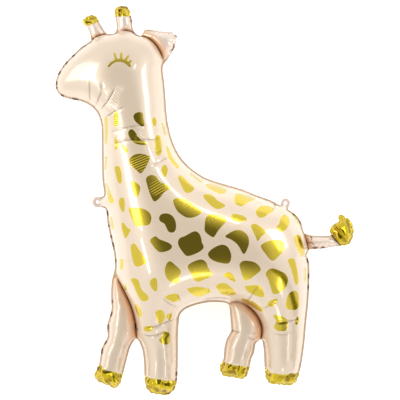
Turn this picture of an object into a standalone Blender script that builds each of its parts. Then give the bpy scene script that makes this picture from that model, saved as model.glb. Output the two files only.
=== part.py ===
"""A giraffe-shaped foil balloon that lies on its side.

Two sheets of film are welded together round the giraffe's outline and along the lines that set off
its far legs, horns, ear and tail, and gas fills the pocket between them. The outline lies in the XY
plane with the muzzle to the left and the horns up, and the balloon rests on the flat spot that its
own weight presses into its flank. Metres, +Z up, the origin under the middle of the outline.
"""

import math

import bmesh
import bpy
import numpy as np
from mathutils import Vector
from mathutils.geometry import delaunay_2d_cdt

# Driving dimensions
OVERALL_HEIGHT = 1.02
SEAM_WIDTH = 0.005
FILM_PAIR_THICKNESS = 0.0016
FRONT_TAB_RADIUS = 0.0145
REAR_TAB_RADIUS = 0.0125
TAB_HOLE_RADIUS = 0.004
REST_FLAT_DEPTH = 0.016

# The torso is a little flatter than the round limbs, by this share at its fullest point
TORSO_FLATTENING = 0.12

# Facet sizes, as shares of the height
OUTLINE_STEP = 0.0112 * OVERALL_HEIGHT
FIRST_ROW_GAP = 0.007 * OVERALL_HEIGHT
FILL_STEP = 0.0163 * OVERALL_HEIGHT
HOLE_SIDES = 12

# The outline is drawn in pattern units, x to the right and y down, 390 units from horn tip to hoof
PATTERN_HEIGHT = 390.0
PATTERN_MIDDLE_X = 204.65
PATTERN_BOTTOM_Y = 395.5
UNIT = OVERALL_HEIGHT / PATTERN_HEIGHT

FACE = [
    (80.8, 101.3), (71.5, 99.4), (64, 97.4), (58.4, 93.3), (55.6, 86.5), (56.4, 78.5), (60, 70),
    (66, 62), (74, 54), (82, 46.5), (90.5, 41),
]
LEFT_HORN = [
    (91, 39.7), (89.7, 33), (87.3, 27.5), (83.5, 24), (82.2, 20.5), (85, 17.5), (91.5, 14.5),
    (96.7, 16.8), (99.5, 22.4), (102.3, 27), (107, 33.5),
]
RIGHT_HORN = [
    (114.6, 33), (116.5, 28), (116.2, 22), (114.3, 13), (115.6, 7.8), (119, 6.2), (124.5, 5.5),
    (128.5, 8), (131, 15.5), (132.5, 23), (133, 29), (135.4, 33.1),
]
EAR = [
    (141.5, 35.5), (144.3, 30.3), (152.7, 29.7), (162.9, 31.3), (172.3, 32), (177, 36), (176, 44),
    (173, 51), (169, 58), (163.4, 65),
]
BACK = [
    (162.8, 69), (164, 80), (165.3, 93.3), (166.2, 107.3), (167.5, 120), (170.2, 133.5),
    (174.9, 147), (182, 159), (192.7, 169.5), (205, 177.5), (224, 184), (240, 188.5), (257, 195.3),
    (272, 200.7), (280.3, 204.9),
]
REAR_TAB_CENTRE = (285.5, 203)
RUMP = [(288.2, 209.2), (293.5, 212.8), (298, 217), (301.3, 222.5), (303, 229)]
TAIL = [
    (304.2, 232.5), (308, 234.5), (320, 235.6), (331, 234.5), (329.6, 230), (332.8, 225),
    (338, 221.6), (339.1, 214.3), (346, 217), (351.2, 221), (353.9, 230), (352.8, 238),
    (348.5, 244.5), (340.9, 246), (334, 247), (323.7, 248.8), (309, 250.5),
]
NEAR_HIND_LEG = [
    (307.3, 255), (309.2, 263), (309.5, 276), (308.4, 301.7), (306.3, 322), (304.1, 346.3),
    (301.1, 365.4), (298.6, 376), (295.9, 382.7), (291, 385.3), (278, 384.8), (269.5, 383.4),
    (265.9, 378.4), (264.4, 366), (263.4, 348), (261, 339.4),
]
FAR_HIND_LEG = [
    (256, 343), (254.2, 352.4), (251.2, 359), (249.6, 368), (246, 377), (242, 379.3),
    (233, 377.3), (224, 376.2), (220, 371), (219.8, 366), (223.2, 359.3), (224.2, 349),
    (226.4, 339.5), (230.8, 330.7), (230.3, 318), (228.2, 304.5),
]
BELLY = [(221, 302.4), (208, 302.4), (195, 305.3), (185, 309.4), (180, 315)]
NEAR_FORE_LEG = [
    (178.6, 324), (178, 340), (178, 358), (177.5, 374), (176.6, 383), (173.5, 391), (166, 395.5),
    (160, 394.8), (152, 393.5), (146.4, 388.5), (144.4, 378), (144, 363), (141.5, 347.5),
    (136.5, 338.8),
]
FAR_FORE_LEG = [
    (131, 346), (127, 359), (123.5, 372.5), (119.8, 384.4), (115, 388.7), (109, 386), (98, 381.6),
    (94, 377), (96, 370.5), (99.3, 362), (102, 347), (107.3, 337.5), (107.2, 325), (111.3, 310),
    (111, 294), (112, 279),
]
CHEST = [(114.7, 268.5), (113.8, 253), (110.2, 237), (107.4, 223), (105.2, 208.8)]
FRONT_TAB_CENTRE = (97.7, 202)
THROAT = [
    (103.6, 195.8), (102.3, 180), (101.9, 160), (101.7, 140), (100.8, 122.5), (97, 112.6),
    (90, 105.6),
]

# Weld lines inside the outline; each ends on two of its points
FAR_FORE_WELD = [
    (114.7, 268.5), (117.5, 277), (122.5, 287), (128.2, 298.4), (132.7, 310), (135.9, 324),
    (136.5, 338.8),
]
FAR_HIND_WELD = [
    (228.2, 304.5), (233, 301.3), (240.5, 301.6), (247.8, 305.7), (254.2, 311.6), (259.4, 319.4),
    (262, 328), (261, 339.4),
]
EAR_WELD = [(141.5, 35.5), (150.4, 39.8), (157.4, 47.2), (161.9, 56), (163.4, 65)]
LEFT_HORN_WELD = [(91, 39.7), (98.5, 36.2), (107, 33.5)]
RIGHT_HORN_WELD = [(114.6, 33), (124.5, 30.5), (135.4, 33.1)]
TAIL_WELD = [(304.2, 232.5), (306.2, 241.5), (309, 250.5)]
TUFT_WELD = [(331, 234.5), (335, 239.6), (340.9, 246)]
WELDS = [
    FAR_FORE_WELD, FAR_HIND_WELD, EAR_WELD, LEFT_HORN_WELD, RIGHT_HORN_WELD, TAIL_WELD, TUFT_WELD,
]

FILM_COLOUR = (0.80, 0.64, 0.50, 1.0)
FILM_ROUGHNESS = 0.22
FILM_METALLIC = 0.35


def clear_scene():
    """Removes whatever the scene starts with."""
    for obj in list(bpy.data.objects):
        bpy.data.objects.remove(obj, do_unlink=True)


def place(points):
    """Pattern points as an array of X and Y in metres."""
    drawn = np.array(points, float)
    return np.column_stack(
        ((drawn[:, 0] - PATTERN_MIDDLE_X) * UNIT, (PATTERN_BOTTOM_Y - drawn[:, 1]) * UNIT)
    )


def tab_arc(centre, radius, before, after):
    """Points round the outside of a hanging tab, from the body's edge before it to the one after."""
    middle = place([centre])[0]
    first, last = (place([point])[0] - middle for point in (before, after))
    start = math.atan2(first[1], first[0])
    sweep = (start - math.atan2(last[1], last[0])) % (2 * math.pi)
    steps = max(5, round(radius * sweep / OUTLINE_STEP))
    angles = [start - sweep * (step + 0.5) / steps for step in range(steps)]
    return [middle + radius * np.array((math.cos(angle), math.sin(angle))) for angle in angles]


def smooth_curve(points, step, closed):
    """A centripetal curve through the points, cut into pieces of about one step."""
    points = np.asarray(points, float)
    count = len(points)
    if closed:
        around = np.vstack((points[-1:], points, points[:2]))
    else:
        around = np.vstack((2 * points[:1] - points[1:2], points, 2 * points[-1:] - points[-2:-1]))
    curve = []
    for index in range(count if closed else count - 1):
        p0, p1, p2, p3 = around[index : index + 4]
        t1 = math.sqrt(np.linalg.norm(p1 - p0))
        t2 = t1 + math.sqrt(np.linalg.norm(p2 - p1))
        t3 = t2 + math.sqrt(np.linalg.norm(p3 - p2))
        pieces = max(1, round(np.linalg.norm(p2 - p1) / step))
        for piece in range(pieces):
            t = t1 + (t2 - t1) * piece / pieces
            a1 = p0 + (p1 - p0) * (t / t1)
            a2 = p1 + (p2 - p1) * ((t - t1) / (t2 - t1))
            a3 = p2 + (p3 - p2) * ((t - t2) / (t3 - t2))
            b1 = a1 + (a2 - a1) * (t / t2)
            b2 = a2 + (a3 - a2) * ((t - t1) / (t3 - t1))
            curve.append(b1 + (b2 - b1) * ((t - t1) / (t2 - t1)))
    if not closed:
        curve.append(points[-1])
    return np.array(curve)


def outline_loop():
    """The welded edge of the whole balloon, anticlockwise seen from above."""
    over_the_back = FACE + LEFT_HORN + RIGHT_HORN + EAR + BACK
    under = RUMP + TAIL + NEAR_HIND_LEG + FAR_HIND_LEG + BELLY + NEAR_FORE_LEG + FAR_FORE_LEG + CHEST
    clockwise = np.vstack(
        (
            place(over_the_back),
            tab_arc(REAR_TAB_CENTRE, REAR_TAB_RADIUS, BACK[-1], RUMP[0]),
            place(under),
            tab_arc(FRONT_TAB_CENTRE, FRONT_TAB_RADIUS, CHEST[-1], THROAT[0]),
            place(THROAT),
        )
    )
    return smooth_curve(clockwise, OUTLINE_STEP, closed=True)[::-1]


def hole_loop(centre):
    """The round hole of a hanging tab."""
    middle = place([centre])[0]
    turns = np.arange(HOLE_SIDES) * 2 * math.pi / HOLE_SIDES
    return middle + TAB_HOLE_RADIUS * np.column_stack((np.cos(turns), np.sin(turns)))


def distance_to_segments(points, starts, ends):
    """Each point's distance to the nearest of the segments."""
    along = ends - starts
    offset = points[:, None] - starts
    share = (offset * along).sum(2) / np.maximum((along**2).sum(1), 1e-18)
    nearest = starts + np.clip(share, 0, 1)[:, :, None] * along
    return np.linalg.norm(points[:, None] - nearest, axis=2).min(1)


def inside(points, loop):
    """Whether each point lies inside the closed loop."""
    found = np.zeros(len(points), bool)
    for (x1, y1), (x2, y2) in zip(loop, np.roll(loop, -1, 0)):
        crosses = (y1 > points[:, 1]) != (y2 > points[:, 1])
        if y1 != y2:
            found ^= crosses & (points[:, 0] < x1 + (x2 - x1) * (points[:, 1] - y1) / (y2 - y1))
    return found


def rows_beside(line, gap, closed):
    """Points beside a line at the given gap, on its left."""
    if closed:
        along = np.roll(line, -1, 0) - np.roll(line, 1, 0)
    else:
        along = np.gradient(line, axis=0)
    along /= np.linalg.norm(along, axis=1)[:, None]
    return line + gap * np.column_stack((-along[:, 1], along[:, 0]))


def thin_out(points, least_gap):
    """Drops each point that lies nearer than the gap to one kept before it."""
    kept = []
    for point in points:
        if not kept or np.linalg.norm(np.array(kept) - point, axis=1).min() >= least_gap:
            kept.append(point)
    return np.array(kept)


def fill_points(lowest, highest):
    """A triangular grid of points over the box."""
    rise = FILL_STEP * math.sqrt(3) / 2
    rows = range(int((highest[1] - lowest[1]) / rise) + 1)
    columns = range(int((highest[0] - lowest[0]) / FILL_STEP) + 2)
    return np.array(
        [
            (lowest[0] + (column - 0.5 * (row % 2)) * FILL_STEP, lowest[1] + row * rise)
            for row in rows
            for column in columns
        ]
    )


def flat_sheet():
    """The sheet of film laid flat: its points, triangles and the points that are welded."""
    loop = outline_loop()
    holes = [hole_loop(centre) for centre in (FRONT_TAB_CENTRE, REAR_TAB_CENTRE)]
    welds = [smooth_curve(place(weld), OUTLINE_STEP, closed=False)[1:-1] for weld in WELDS]
    edge_start, edge_end = loop, np.roll(loop, -1, 0)
    weld_start = np.vstack([line[:-1] for line in welds])
    weld_end = np.vstack([line[1:] for line in welds])
    hole_start = np.vstack(holes)
    hole_end = np.vstack([np.roll(hole, -1, 0) for hole in holes])

    def keep(points, from_edge, from_weld, apart):
        points = points[inside(points, loop)]
        clear = distance_to_segments(points, edge_start, edge_end) > from_edge
        clear &= distance_to_segments(points, weld_start, weld_end) > from_weld
        clear &= distance_to_segments(points, hole_start, hole_end) > SEAM_WIDTH / 3
        for hole in holes:
            clear &= ~inside(points, hole)
        return thin_out(points[clear], apart)

    inner_row = SEAM_WIDTH + FIRST_ROW_GAP
    seam_row = keep(rows_beside(loop, SEAM_WIDTH, True), 0.9 * SEAM_WIDTH, 0.4 * SEAM_WIDTH, 0.4 * OUTLINE_STEP)
    first_row = keep(rows_beside(loop, inner_row, True), 0.9 * inner_row, 0.8 * FIRST_ROW_GAP, 0.6 * OUTLINE_STEP)
    beside = np.vstack(
        [rows_beside(line, side * FIRST_ROW_GAP, False) for line in welds for side in (-1, 1)]
    )
    weld_row = keep(beside, 0.8 * inner_row, 0.9 * FIRST_ROW_GAP, 0.6 * OUTLINE_STEP)
    first_rows = thin_out(np.vstack((first_row, weld_row)), 0.6 * OUTLINE_STEP)
    grid = fill_points(loop.min(0), loop.max(0))
    grid = keep(grid, inner_row + 0.5 * FILL_STEP, FIRST_ROW_GAP + 0.5 * FILL_STEP, 0.5 * FILL_STEP)

    points = [loop, *holes, *welds, seam_row, first_rows, grid]
    firsts = np.cumsum([0] + [len(group) for group in points])
    constraints = []
    for index, group in enumerate(points[: 1 + len(holes) + len(welds)]):
        closed = index <= len(holes)
        numbers = list(range(firsts[index], firsts[index + 1]))
        constraints += list(zip(numbers, numbers[1:] + numbers[:1] if closed else numbers[1:]))
    for weld, line_number in zip(WELDS, range(1 + len(holes), 1 + len(holes) + len(welds))):
        for end, number in ((weld[0], firsts[line_number]), (weld[-1], firsts[line_number + 1] - 1)):
            gaps = np.linalg.norm(loop - place([end])[0], axis=1)
            constraints.append((int(gaps.argmin()), int(number)))
    every = np.vstack(points)
    sheet, _, triangles, *_ = delaunay_2d_cdt(
        [Vector(point) for point in every], [(int(a), int(b)) for a, b in constraints], [], 0, 1e-7
    )
    sheet = np.array([(point.x, point.y) for point in sheet])
    triangles = np.array(triangles)
    centres = sheet[triangles].mean(1)
    solid = inside(centres, loop)
    for hole in holes:
        solid &= ~inside(centres, hole)
    triangles = triangles[solid]

    welded = distance_to_segments(sheet, edge_start, edge_end) < 1.02 * SEAM_WIDTH
    welded |= distance_to_segments(sheet, weld_start, weld_end) < 0.1 * SEAM_WIDTH
    for centre, radius in ((FRONT_TAB_CENTRE, FRONT_TAB_RADIUS), (REAR_TAB_CENTRE, REAR_TAB_RADIUS)):
        welded |= np.linalg.norm(sheet - place([centre])[0], axis=1) < 1.02 * radius
    return sheet, triangles, welded


def swell(sheet, triangles, welded):
    """Half the thickness that the gas gives each point: round over a limb, a low dome on the torso.

    A film under even pressure, held at its welds, solves a Poisson equation. The root of twice its
    height is a half circle over a long strip, which is what a filled limb is.
    """
    corners = sheet[triangles]
    opposite = np.roll(corners, -1, 1) - np.roll(corners, 1, 1)
    side_a, side_b = corners[:, 1] - corners[:, 0], corners[:, 2] - corners[:, 0]
    area = 0.5 * np.abs(side_a[:, 0] * side_b[:, 1] - side_a[:, 1] * side_b[:, 0])
    stiffness = np.zeros((len(sheet), len(sheet)))
    load = np.zeros(len(sheet))
    for row in range(3):
        np.add.at(load, triangles[:, row], area / 3)
        for column in range(3):
            pull = (opposite[:, row] * opposite[:, column]).sum(1) / (4 * area)
            np.add.at(stiffness, (triangles[:, row], triangles[:, column]), pull)
    free = ~welded & (np.diag(stiffness) > 0)
    height = np.zeros(len(sheet))
    height[free] = np.linalg.solve(stiffness[np.ix_(free, free)], load[free])
    radius = np.sqrt(2 * np.maximum(height, 0))
    return radius * (1 - TORSO_FLATTENING * radius / radius.max())


def film_material():
    """Pearl film: glossy, with a little metal under the lacquer."""
    material = bpy.data.materials.new("pearl_film")
    material.use_nodes = True
    shader = material.node_tree.nodes["Principled BSDF"]
    shader.inputs["Base Color"].default_value = FILM_COLOUR
    shader.inputs["Roughness"].default_value = FILM_ROUGHNESS
    shader.inputs["Metallic"].default_value = FILM_METALLIC
    return material


def add_balloon():
    """The filled balloon as one closed body."""
    sheet, triangles, welded = flat_sheet()
    half = FILM_PAIR_THICKNESS / 2 + swell(sheet, triangles, welded)
    seam_height = half.max() - REST_FLAT_DEPTH
    middle_y = OVERALL_HEIGHT / 2
    shape = bmesh.new()
    top, bottom = (
        [
            shape.verts.new((x, y - middle_y, seam_height + z))
            for (x, y), z in zip(sheet, heights)
        ]
        for heights in (half, -np.minimum(half, seam_height))
    )
    for triangle in triangles:
        a, b, c = (int(corner) for corner in triangle)
        (ax, ay), (bx, by), (cx, cy) = sheet[a], sheet[b], sheet[c]
        if (bx - ax) * (cy - ay) < (by - ay) * (cx - ax):
            b, c = c, b
        shape.faces.new((top[a], top[b], top[c]))
        shape.faces.new((bottom[a], bottom[c], bottom[b]))
    upper = {vert: index for index, vert in enumerate(top)}
    for edge in [edge for edge in shape.edges if len(edge.link_faces) == 1]:
        first, second = edge.verts
        if first in upper and second in upper:
            loop = edge.link_loops[0]
            start, end = upper[loop.vert], upper[loop.link_loop_next.vert]
            shape.faces.new((top[end], top[start], bottom[start]))
            shape.faces.new((top[end], bottom[start], bottom[end]))
    bmesh.ops.delete(shape, geom=[v for v in shape.verts if not v.link_faces], context="VERTS")
    mesh = bpy.data.meshes.new("giraffe_balloon")
    shape.to_mesh(mesh)
    shape.free()
    mesh.shade_smooth()
    mesh.set_sharp_from_angle(angle=math.radians(50))
    mesh.materials.append(film_material())
    balloon = bpy.data.objects.new("giraffe_balloon", mesh)
    bpy.context.scene.collection.objects.link(balloon)
    return balloon


def main():
    clear_scene()
    add_balloon()


main()
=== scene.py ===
"""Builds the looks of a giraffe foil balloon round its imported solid.

The balloon lies on its side on a pale floor and the camera looks down on it. The pattern of the
film is drawn in pattern units, x to the right and y down, 390 units from horn tip to hoof, and the
frame's box turns them into metres.
"""

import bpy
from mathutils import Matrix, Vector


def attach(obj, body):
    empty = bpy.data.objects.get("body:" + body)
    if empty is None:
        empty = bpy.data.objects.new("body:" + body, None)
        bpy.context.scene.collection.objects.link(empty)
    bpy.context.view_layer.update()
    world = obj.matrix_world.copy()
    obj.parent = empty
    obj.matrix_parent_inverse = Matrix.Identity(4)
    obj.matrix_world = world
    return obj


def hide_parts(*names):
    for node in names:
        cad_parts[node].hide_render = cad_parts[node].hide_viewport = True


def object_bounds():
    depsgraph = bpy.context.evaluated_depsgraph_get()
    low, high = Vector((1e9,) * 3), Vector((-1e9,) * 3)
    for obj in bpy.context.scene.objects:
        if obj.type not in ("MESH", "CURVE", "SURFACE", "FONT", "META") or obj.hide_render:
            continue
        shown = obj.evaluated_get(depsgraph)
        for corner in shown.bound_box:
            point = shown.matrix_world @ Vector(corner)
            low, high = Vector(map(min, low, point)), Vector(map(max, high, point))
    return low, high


bl_info = {
    "name": "Giraffe Foil Balloon",
    "version": (1, 0, 0),
    "blender": (4, 5, 0),
    "location": "View3D > Sidebar > Balloon",
    "description": "Fills, creases and prints a giraffe foil balloon and sets its stage",
    "category": "Object",
}

import math

import bmesh
import bpy
import numpy as np
from bpy.props import FloatProperty, FloatVectorProperty, IntProperty, PointerProperty
from mathutils import Vector

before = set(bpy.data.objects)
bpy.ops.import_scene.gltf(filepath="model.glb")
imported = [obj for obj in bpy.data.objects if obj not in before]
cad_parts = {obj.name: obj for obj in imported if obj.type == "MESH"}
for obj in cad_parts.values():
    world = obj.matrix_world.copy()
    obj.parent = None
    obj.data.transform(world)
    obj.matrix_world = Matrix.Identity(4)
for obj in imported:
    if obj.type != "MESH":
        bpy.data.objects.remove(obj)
CAD_LOW, CAD_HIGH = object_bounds()

BODY = "root"
NODE = "giraffe_balloon"

# The solid's own measures, read from the frame where it has them
PATTERN_HEIGHT = 390.0
PATTERN_MIDDLE_X = 204.65
PATTERN_BOTTOM_Y = 395.5
UNIT = (CAD_HIGH.y - CAD_LOW.y) / PATTERN_HEIGHT
REST_FLAT_DEPTH = 0.016
SEAM_HEIGHT = (CAD_HIGH.z - REST_FLAT_DEPTH) / 2
SOLID_FILM_THICKNESS = 0.0016

# Printed gold spots: points round each one's edge
SPOTS = [
    [(133.4, 116.3), (135.5, 113.2), (139.4, 112.1), (142.9, 113.4), (143.2, 117.4),
     (144.6, 123.7), (142.9, 126.5), (139.4, 124.7), (135.2, 121.2)],
    [(128.2, 132.1), (131, 129), (134.1, 130.7), (137.6, 135.6), (141.5, 140.2), (147.1, 143.4),
     (144.6, 145.1), (137.3, 144.2), (132.7, 141.6), (129.2, 136.7)],
    [(128.9, 160.2), (132.7, 155.6), (139, 153.7), (145.4, 154.6), (150.3, 157), (148.2, 162.3),
     (145.4, 167.9), (140.8, 173.5), (136.9, 170.7), (132, 166.1)],
    [(131, 181), (136.3, 182.8), (140.2, 187), (139.1, 193.3), (137.4, 197), (134.5, 195),
     (132, 188)],
    [(146, 180), (147.5, 176.5), (152, 175), (156.6, 177), (160, 182), (165.8, 184.2),
     (169.3, 186.5), (169, 189.8), (164.5, 192), (161, 196.5), (156.5, 200.8), (153.5, 201),
     (150, 194), (147.5, 186)],
    [(161.5, 169.3), (162.9, 165.8), (165.7, 165.1), (167.8, 168.6), (167.1, 172.8),
     (165, 177.4), (162.2, 174.2)],
    [(155.2, 137.5), (157.8, 134.9), (160.6, 137.4), (161.8, 146.1), (161.1, 153.2),
     (158.3, 156), (155.7, 152.6), (155, 145.5)],
    [(152.4, 119), (154.5, 117.4), (156.6, 120.2), (155.9, 125), (154.1, 126.5), (152.4, 123)],
    [(114.3, 112.6), (117.6, 111.6), (118.4, 117.5), (118.2, 124.5), (115.6, 127),
     (113.9, 123.6)],
    [(114.8, 167), (119.2, 166.6), (121.5, 174.2), (121.6, 182), (118.7, 183.3), (116, 175.5)],
    [(178.3, 177.5), (180.6, 175.3), (184.5, 178.2), (189.6, 183.5), (193.9, 187), (193, 190.8),
     (188.2, 193), (184.7, 191.6), (181.5, 186)],
    [(118.9, 202), (120.4, 197.9), (123.3, 197.9), (124.7, 202.5), (124.2, 212), (122, 211.2),
     (119.7, 206.7)],
    [(128.8, 208.5), (134, 207.6), (141, 208.2), (147.5, 210.9), (151.2, 216), (150.6, 222.5),
     (147.5, 225.3), (142.5, 225.5), (137.5, 226.8), (134, 223.5), (130.8, 216.5)],
    [(159.1, 219.3), (160.2, 215.1), (164.4, 213.4), (169.3, 214), (173.5, 217.2), (176, 223.5),
     (175.6, 229.8), (172.8, 232.6), (168.6, 231.6), (166.1, 227), (164.2, 223.6),
     (160.9, 221.8)],
    [(121.2, 223.5), (123.7, 222.8), (127.2, 227.7), (130.7, 229.8), (127.9, 235.4),
     (125.8, 238.6), (123.7, 235.4), (121.9, 229.1)],
    [(150, 240.4), (155.3, 236.1), (158.8, 238.9), (164.4, 241.1), (169.3, 243.2),
     (172.1, 246.3), (169.3, 250.2), (160.9, 252.3), (156.7, 250.2), (153.2, 246)],
    [(130.7, 246.7), (132.8, 243.5), (134.9, 243.9), (140.5, 251.6), (146.1, 260.7),
     (145.4, 263.5), (138.4, 266.5), (134.9, 265.6), (132.8, 260.7), (131.4, 253.7)],
    [(164.8, 269.5), (166.8, 263.5), (169.8, 261.2), (173.6, 263.6), (180.8, 270.8),
     (179, 276.5), (179.8, 280.6), (175.5, 283.6), (169.3, 281.2), (165.8, 276)],
    [(178, 242), (180, 238), (185, 236), (193.8, 231.4), (198.5, 232.8), (201, 237.5),
     (202, 242.5), (203.7, 247), (201.2, 250.6), (194, 254.4), (187, 256), (183, 252.3),
     (179, 246.5)],
    [(187.6, 266.6), (192.5, 262.1), (201, 259.5), (205.9, 262.1), (208.6, 268.4),
     (212.1, 273.8), (209.5, 277.3), (203.2, 280), (198.8, 281.8), (194.3, 280), (191.6, 274.6)],
    [(173, 200.5), (177, 198.2), (183.5, 198.6), (188.5, 200.8), (194, 204.8), (200, 208.5),
     (202, 212), (198.5, 215.3), (192, 217.7), (186, 217.2), (180.5, 213.8), (176.3, 209.5)],
    [(205.4, 185.8), (209.5, 183.3), (215.7, 184), (226.9, 188.9), (222.9, 193.6), (215.7, 192)],
    [(203.2, 196.1), (205.9, 193.8), (212.1, 195.2), (217.5, 200.5), (225.1, 205),
     (222.9, 207.7), (218.4, 209), (213.9, 207.7), (206.8, 201.4)],
    [(235.6, 194.4), (242.5, 193.8), (255.9, 198.8), (247.9, 202.3), (242.5, 205.9),
     (238, 205.4), (234.5, 201.4)],
    [(256.3, 210.4), (260.4, 206.3), (266.6, 205.9), (272.9, 207.7), (273.3, 210.8),
     (268.4, 213.9), (263, 217.5), (258.6, 217.1), (256.3, 213.9)],
    [(231.3, 216.2), (233.6, 213.9), (241.6, 215.3), (247, 219.3), (242.5, 221.5), (235.4, 222),
     (231.8, 219.7)],
    [(205.4, 219.3), (208.5, 214.4), (212, 213.6), (218.4, 214.4), (224.6, 216.6),
     (226.4, 221.1), (219.3, 229.1), (216, 234), (213.5, 237.2), (209.5, 235.4), (205, 231.3),
     (204.7, 225)],
    [(225.1, 236.7), (230, 232.7), (236.3, 230), (243.4, 231.3), (248.3, 237.1), (248.8, 244.3),
     (246.5, 250.5), (244.3, 254.1), (242, 252.3), (239.8, 247.9), (236.3, 243.4),
     (230.9, 239.4)],
    [(251, 225.5), (254.1, 223.8), (258.6, 225.5), (265.7, 231.7), (261, 237), (257.7, 241.2),
     (255.9, 237.1), (252.8, 230.9)],
    [(208.1, 253.2), (213, 248.3), (221.1, 244.7), (227.3, 246.5), (230.9, 253.2),
     (230.9, 259.5), (228.2, 263.5), (221.1, 263), (213.9, 260.8), (209.5, 257.7)],
    [(260.8, 246.5), (264.8, 242.5), (272.9, 240), (282, 240.7), (284.5, 246.1), (282.7, 251.4),
     (277.3, 257.7), (272, 260.8), (265.7, 254.1)],
    [(276.4, 226.9), (279.1, 223.8), (280.6, 218), (284.5, 214.4), (288.5, 217.5),
     (289.4, 223.8), (285.4, 230), (280.9, 231.8), (277.8, 230)],
    [(239.4, 264.8), (242.5, 261.3), (247.9, 260.8), (255.9, 263), (260.8, 269.3),
     (255.9, 274.6), (249.6, 279.1), (245.2, 280.9), (242.5, 276.4), (240.7, 270.2)],
    [(265.7, 273.3), (271.1, 268.4), (278.2, 270.2), (285.4, 273.8), (288, 279.1),
     (286.3, 286.3), (282.7, 290.7), (277.3, 293.8), (272.9, 293.4), (270.6, 287.1),
     (268.4, 280)],
    [(223.3, 275.1), (228.2, 272.4), (232.7, 274.2), (235.8, 282.2), (230.9, 280)],
    [(187.1, 288.9), (191.6, 287.4), (197.9, 286.7), (208.6, 288.9), (210.4, 292.1),
     (200.5, 296.5), (194.3, 295.6), (189.8, 292.5)],
    [(216.2, 286.7), (218.4, 283.8), (224.6, 283.1), (230, 286.3), (236.3, 293.4), (230, 295.2),
     (222.9, 294.7), (218.4, 290.7)],
    [(244.7, 287.1), (247.9, 285.6), (258.6, 285.4), (262.1, 288.9), (264.4, 296.1),
     (260.4, 297), (253.2, 294.7), (247.9, 291.6)],
    [(267.5, 305.9), (269.3, 301.4), (274.6, 298.8), (278.2, 299.6), (275.5, 304.1),
     (272, 306.8)],
    [(287.6, 260.4), (290.7, 258.6), (294.3, 259), (297, 269.3), (298.3, 278.2), (297.9, 284),
     (295.2, 283.6), (292.5, 273.8), (289.8, 265.7)],
    [(294, 237), (300.3, 234.9), (302.3, 240.7), (304.6, 249.6), (305, 255.9), (301.4, 255.9),
     (297, 247.9)],
    [(288.5, 294.3), (292.5, 291.2), (297, 291.6), (298.8, 298), (299.2, 305), (296.1, 309.5),
     (288.9, 309.5), (285.8, 306.8), (286.7, 298.8)],
    [(273, 315.2), (279.6, 315.7), (285.4, 318.1), (287.9, 322.3), (285.8, 330.6),
     (277.1, 330.6), (273.8, 326.4), (276.3, 321.5)],
    [(294.9, 321.5), (297.4, 316.5), (299.1, 319.8), (296.6, 324.8)],
    [(130.9, 279.2), (135.4, 278.3), (138.9, 281.4), (141.6, 289.5), (147.9, 295.7),
     (147.9, 300.2), (142.5, 301.1), (138, 295.7), (134.5, 287.7)],
    [(149.6, 282.3), (153.2, 277.9), (156.8, 279.6), (157.2, 290.2), (154.1, 290.8),
     (151, 286.8)],
    [(164.8, 297.5), (170.2, 294.4), (176.9, 293.9), (180, 299.3), (174.6, 302), (169.3, 300.2)],
    [(134.9, 304.6), (138, 305.1), (141.6, 311.8), (141.4, 317.4), (138.9, 316.3), (135.8, 310)],
    [(155.4, 312.8), (158.6, 310), (163, 310.9), (164.8, 318), (160.4, 324.3), (157.7, 320.7)],
    [(166.2, 316.3), (168.4, 313.6), (172, 314.5), (171.5, 318), (168.4, 319.8)],
    [(143.8, 327.9), (146.1, 326.1), (153.2, 326.5), (151.4, 330.5), (147.9, 331.9),
     (144.3, 330.5)],
    [(159, 339.8), (162.1, 335.9), (163, 331.4), (168.4, 332.3), (170.2, 336.8), (168.4, 343.9),
     (162.6, 343.9)],
]
# Narrow streaks of the same print: chains of (x, y, half width)
STREAKS = [
    [(106, 119, 1.8), (105.9, 132, 2.3), (106, 143, 1.2)],
    [(115.4, 138, 0.9), (116.6, 145, 1.9), (116, 149.5, 0.9)],
    [(122.6, 145.6, 1.4), (126.2, 151, 1.9)],
    [(162.3, 123.5, 0.9), (165.4, 134, 1.3)],
    [(167, 147.5, 1.3), (170.5, 158, 1.8), (177.5, 167, 1.6)],
    [(106, 157, 1.2), (105.3, 169, 1.2)],
    [(106, 184, 1.4), (108.5, 192, 1.8), (111.5, 201, 2.4)],
    [(110.8, 218, 1.5), (112.6, 228, 1.7)],
    [(121.9, 260, 1.5), (121.7, 268, 1.7)],
    [(125.2, 284.5, 0.8), (126, 289, 1.4)],
    [(293, 214.5, 1.1), (299.4, 223.4, 1.6)],
    [(305.5, 268, 1), (305, 280, 1.3)],
    [(243, 299.8, 1.6), (252, 303.8, 2.4), (261, 309.4, 2.2)],
    [(190.8, 173.6, 1.3), (200.8, 181.2, 1.6)],
]
# The closed eye: the lid and its lashes, as streaks
EYE = [
    [
        (108.6, 66.3, 0.98), (111.6, 63, 1.2), (115.5, 60.8, 1.3), (120.3, 60.2, 1.6),
        (124.7, 61.2, 1.7), (127.9, 63.5, 1.6), (129.9, 66, 1.2),
    ],
    [(114.4, 53.6, 0.98), (116.1, 59, 1.2)],
    [(121.3, 53.3, 0.98), (121.2, 59, 1.3)],
    [(128.2, 56.1, 0.98), (125.5, 60.3, 1.3)],
    [(130.8, 61, 1.1), (127.9, 63.8, 1.6)],
]
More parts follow.
